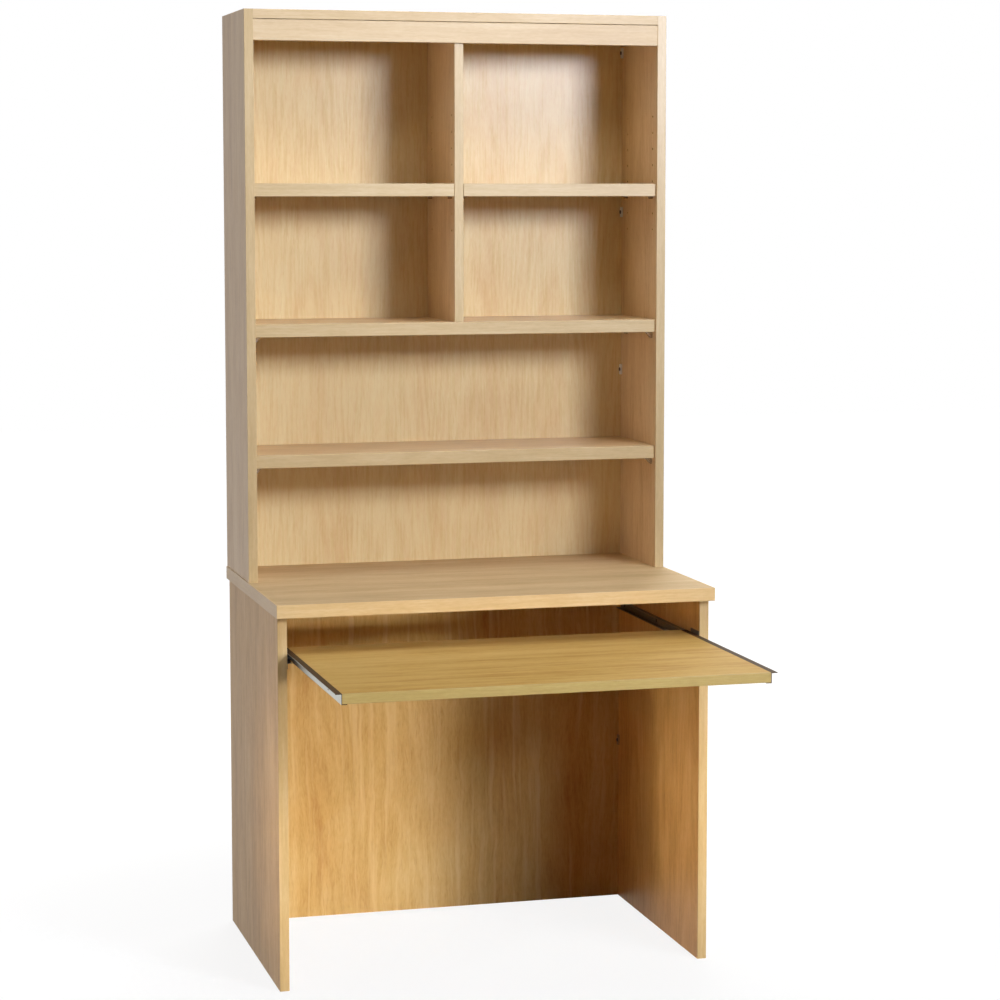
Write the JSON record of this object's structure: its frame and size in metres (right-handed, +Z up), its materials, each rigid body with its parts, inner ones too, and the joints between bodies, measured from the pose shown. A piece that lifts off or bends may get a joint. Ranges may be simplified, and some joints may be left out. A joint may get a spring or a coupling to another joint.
{
  "type": "student desk with hutch",
  "caption": "Wood-print panel desk with a pull-out keyboard shelf on roller runners and a tall open hutch of shelves above.",
  "frame": {"origin": "on the floor, under the middle of the box that the part fills with its keyboard shelf drawn out", "axes": "+X to the right of someone sitting at the desk, +Y to the back, +Z up"},
  "size_m": [0.848, 0.94, 1.825],
  "materials": {
    "oak_upright": "satin wood-print melamine, grain upright",
    "oak_level": "satin wood-print melamine, grain level",
    "oak_edging": "satin wood-print edging strip",
    "dark_runner": "dark epoxy coat",
    "zinc_runner": "zinc plated, with grease on the flange and lip",
    "screw_steel": "dark plated",
    "axle_steel": "zinc plated",
    "black_nylon": "moulded",
    "white_plastic": "moulded",
    "tan_plastic": "moulded",
    "clear_plastic": "clear moulded",
    "pin_steel": "dark plated",
    "dowel_wood": "bare beech"
  },
  "bodies": {
    "carcass": {"desk_back": "oak_upright", "desk_back_block_screws": "screw_steel", "desk_back_blocks": "tan_plastic", "desk_side_edging_left": "oak_edging", "desk_side_edging_right": "oak_edging", "desk_side_left": "oak_upright", "desk_side_right": "oak_upright", "desk_top": "oak_level", "desk_top_block_screws": "screw_steel", "desk_top_blocks": "tan_plastic", "desk_top_dowels": "dowel_wood", "desk_top_edging_front": "oak_edging", "desk_top_edging_left": "oak_edging", "desk_top_edging_right": "oak_edging", "divider": "oak_upright", "divider_dowels": "dowel_wood", "divider_edging": "oak_edging", "fascia_dowels": "dowel_wood", "front_roller_axles": "axle_steel", "hutch_back": "oak_upright", "hutch_block_screws": "screw_steel", "hutch_blocks": "white_plastic", "hutch_fascia": "oak_level", "hutch_foot_dowels": "dowel_wood", "hutch_side_edging_left": "oak_edging", "hutch_side_edging_right": "oak_edging", "hutch_side_left": "oak_upright", "hutch_side_right": "oak_upright", "hutch_top": "oak_level", "hutch_top_dowels": "dowel_wood", "hutch_top_edging": "oak_edging", "lower_shelf": "oak_level", "lower_shelf_edging": "oak_edging", "lower_shelf_supports": "clear_plastic", "middle_shelf": "oak_level", "middle_shelf_edging": "oak_edging", "middle_shelf_supports": "clear_plastic", "runner_cabinet_left": "dark_runner", "runner_cabinet_right": "dark_runner", "runner_screws": "screw_steel", "upper_shelf_edging_left": "oak_edging", "upper_shelf_edging_right": "oak_edging", "upper_shelf_left": "oak_level", "upper_shelf_pins": "pin_steel", "upper_shelf_right": "oak_level"},
    "keyboard_tray": {"keyboard_shelf": "oak_level", "keyboard_shelf_edging": "oak_edging", "runner_shelf_left": "zinc_runner", "runner_shelf_right": "zinc_runner", "shelf_runner_screws": "screw_steel", "rear_roller_axles": "axle_steel"},
    "front_roller_left": {"front_roller_left": "black_nylon"},
    "front_roller_right": {"front_roller_right": "black_nylon"},
    "rear_roller_left": {"rear_roller_left": "black_nylon"},
    "rear_roller_right": {"rear_roller_right": "black_nylon"}
  },
  "joints": [
    {"name": "keyboard_slide", "type": "slide", "parent": "carcass", "child": "keyboard_tray", "axis": [0, -1, 0], "range_m": [-0.419, 0]},
    {"name": "front_roller_left_turn", "type": "hinge", "parent": "carcass", "child": "front_roller_left", "pos_m": [-0.3935, -0.036, 0.6255], "axis": [1, 0, 0], "range_deg": [-3440, 10]},
    {"name": "front_roller_right_turn", "type": "hinge", "parent": "carcass", "child": "front_roller_right", "pos_m": [0.3935, -0.036, 0.6255], "axis": [1, 0, 0], "range_deg": [-3440, 10]},
    {"name": "rear_roller_left_turn", "type": "hinge", "parent": "keyboard_tray", "child": "rear_roller_left", "pos_m": [-0.3935, 0, 0.6237], "axis": [1, 0, 0], "range_deg": [-3440, 10]},
    {"name": "rear_roller_right_turn", "type": "hinge", "parent": "keyboard_tray", "child": "rear_roller_right", "pos_m": [0.3935, 0, 0.6237], "axis": [1, 0, 0], "range_deg": [-3440, 10]}
  ],
  "couplings": [
    {"joint": "front_roller_left_turn", "follows": "keyboard_slide", "rad_per_m": 142.86},
    {"joint": "front_roller_right_turn", "follows": "keyboard_slide", "rad_per_m": 142.86},
    {"joint": "rear_roller_left_turn", "follows": "keyboard_slide", "rad_per_m": 142.86},
    {"joint": "rear_roller_right_turn", "follows": "keyboard_slide", "rad_per_m": 142.86}
  ]
}
